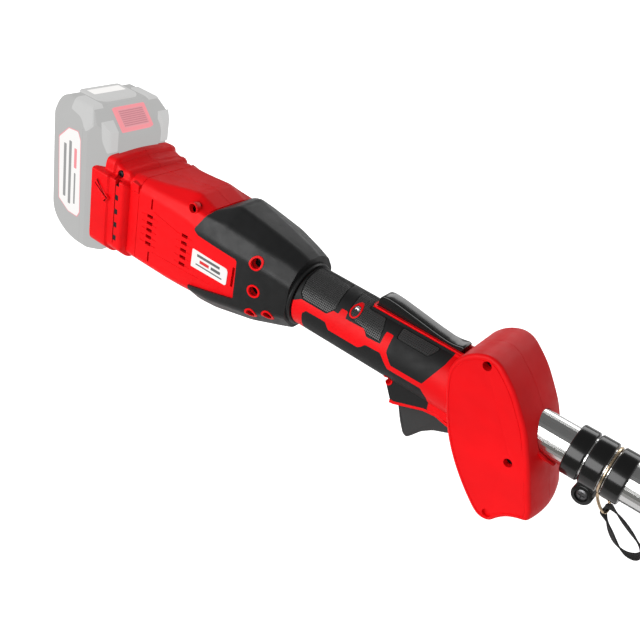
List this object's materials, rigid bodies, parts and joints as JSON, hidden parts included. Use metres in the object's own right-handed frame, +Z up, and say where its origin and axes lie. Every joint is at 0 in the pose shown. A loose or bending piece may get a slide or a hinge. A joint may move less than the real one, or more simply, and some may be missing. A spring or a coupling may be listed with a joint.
{
  "type": "telescoping pole saw",
  "caption": "Battery pole saw: slide-on pack, motor housing, guarded trigger grip, telescoping aluminium pole with cam lock, bevel gearbox, guide bar and chain.",
  "frame": {"origin": "middle of the whole tool in plan, on the surface that the guard foot and the branch hook rest on", "axes": "+X along the pole towards the saw head, +Y to the tool's left, +Z up"},
  "size_m": [1.8362, 0.0766, 0.1383],
  "materials": {
    "red_plastic": "moulded glass-filled nylon, satin red",
    "black_plastic": "fine spark-eroded texture, black",
    "charcoal_plastic": "fine moulded texture, charcoal",
    "soft_grip": "overmoulded elastomer, textured patches",
    "foam": "closed-cell foam sleeve",
    "aluminium": "anodised, drawn",
    "steel": "ground",
    "dark_steel": "blackened",
    "brass": "drawn wire",
    "cell_wrap": "shrink wrap",
    "circuit_board": "solder mask",
    "webbing": "woven tape",
    "tank_plastic": "smoked translucent"
  },
  "bodies": {
    "tool_body": {"housing_right": "red_plastic", "housing_left": "red_plastic", "nose_cover": "black_plastic", "flange_screw": "dark_steel", "body_screw": "dark_steel", "nose_screw_upper": "dark_steel", "nose_screw_lower": "dark_steel", "handle_right": "red_plastic", "handle_left": "red_plastic", "grip_pad_upper": "soft_grip", "grip_pad_lower": "soft_grip", "grip_screw": "dark_steel", "trigger_screw": "dark_steel", "guard_screw_top": "dark_steel", "guard_screw_front": "dark_steel", "guard_screw_foot": "dark_steel", "trigger_switch": "black_plastic", "motor_stator": "steel", "front_bearing": "steel", "control_board": "circuit_board", "terminal_block": "brass", "outer_pole": "aluminium", "collar_rear": "black_plastic", "collar_front": "black_plastic", "clamp_ring": "black_plastic", "clamp_screw": "dark_steel", "foregrip": "foam", "pole_lock_clamp": "black_plastic", "pole_lock_pin": "steel"},
    "battery": {"battery_case_rear": "charcoal_plastic", "battery_case_front": "charcoal_plastic", "battery_cells": "cell_wrap"},
    "battery_button": {"battery_release_button": "red_plastic"},
    "lock_off": {"lock_off_lever": "black_plastic"},
    "trigger_body": {"trigger": "charcoal_plastic"},
    "motor_drive": {"motor_rotor": "dark_steel", "drive_coupling": "dark_steel", "drive_sleeve": "aluminium"},
    "saw_head": {"inner_pole": "aluminium", "gearbox_right": "red_plastic", "gearbox_left": "red_plastic", "guide_bar": "steel", "saw_chain": "dark_steel", "sprocket_cover": "black_plastic", "bar_stud": "steel", "oil_tank": "tank_plastic", "branch_hook": "black_plastic"},
    "bevel_drive": {"drive_shaft": "steel", "bevel_pinion": "steel"},
    "chain_drive": {"bevel_gear": "steel", "sprocket_axle": "steel", "drive_sprocket": "dark_steel"},
    "tension_adjuster": {"chain_tension_screw": "steel"},
    "bar_nut_body": {"bar_nut": "red_plastic"},
    "tank_cap": {"oil_cap": "black_plastic"},
    "carrying_eye": {"carrying_ring": "brass", "strap_loop": "webbing"},
    "pole_lock": {"pole_lock_lever": "red_plastic"}
  },
  "joints": [
    {"name": "battery_slide", "type": "slide", "parent": "tool_body", "child": "battery", "axis": [0, 0, 1], "range_m": [0, 0.12]},
    {"name": "battery_button_press", "type": "slide", "parent": "battery", "child": "battery_button", "axis": [-0.7271, 0, -0.6865], "range_m": [0, 0.0025], "stiffness_N_per_m": 800, "springref_m": -0.001},
    {"name": "lock_off_press", "type": "hinge", "parent": "tool_body", "child": "lock_off", "pos_m": [-0.5691, 0, 0.0897], "axis": [0, -1, 0], "range_deg": [0, 4], "stiffness_Nm_per_rad": 0.6, "springref_deg": -8.59},
    {"name": "trigger_pull", "type": "hinge", "parent": "tool_body", "child": "trigger_body", "pos_m": [-0.5606, 0, 0.0462], "axis": [0, 1, 0], "range_deg": [0, 7], "stiffness_Nm_per_rad": 0.6, "springref_deg": -14.32},
    {"name": "drive_spin", "type": "hinge", "parent": "tool_body", "child": "motor_drive", "pos_m": [-0.5991, 0, 0.0687], "axis": [1, 0, 0], "continuous": true},
    {"name": "telescope", "type": "slide", "parent": "tool_body", "child": "saw_head", "axis": [1, 0, 0], "range_m": [0, 0.65]},
    {"name": "pinion_spin", "type": "hinge", "parent": "saw_head", "child": "bevel_drive", "pos_m": [0.5909, 0, 0.0687], "axis": [1, 0, 0], "continuous": true},
    {"name": "sprocket_spin", "type": "hinge", "parent": "saw_head", "child": "chain_drive", "pos_m": [0.5909, 0, 0.0687], "axis": [0, 1, 0], "continuous": true},
    {"name": "tension_screw_turn", "type": "hinge", "parent": "saw_head", "child": "tension_adjuster", "pos_m": [0.6509, -0.016, 0.0547], "axis": [1, 0, 0], "continuous": true},
    {"name": "bar_nut_turn", "type": "hinge", "parent": "saw_head", "child": "bar_nut_body", "pos_m": [0.6409, -0.036, 0.0687], "axis": [0, 1, 0], "continuous": true},
    {"name": "tank_cap_turn", "type": "hinge", "parent": "saw_head", "child": "tank_cap", "pos_m": [0.5929, 0.003, 0.1247], "axis": [0, 0, 1], "range_deg": [0, 90]},
    {"name": "carrying_eye_swivel", "type": "hinge", "parent": "tool_body", "child": "carrying_eye", "pos_m": [-0.4593, 0, 0.0687], "axis": [1, 0, 0], "range_deg": [-75, 75]},
    {"name": "pole_lock_swing", "type": "hinge", "parent": "tool_body", "child": "pole_lock", "pos_m": [0.2769, 0.0214, 0.0687], "axis": [0, 0, -1], "range_deg": [0, 100]}
  ],
  "couplings": [
    {"joint": "pinion_spin", "follows": "drive_spin", "ratio": 1},
    {"joint": "sprocket_spin", "follows": "drive_spin", "ratio": 0.66667}
  ]
}
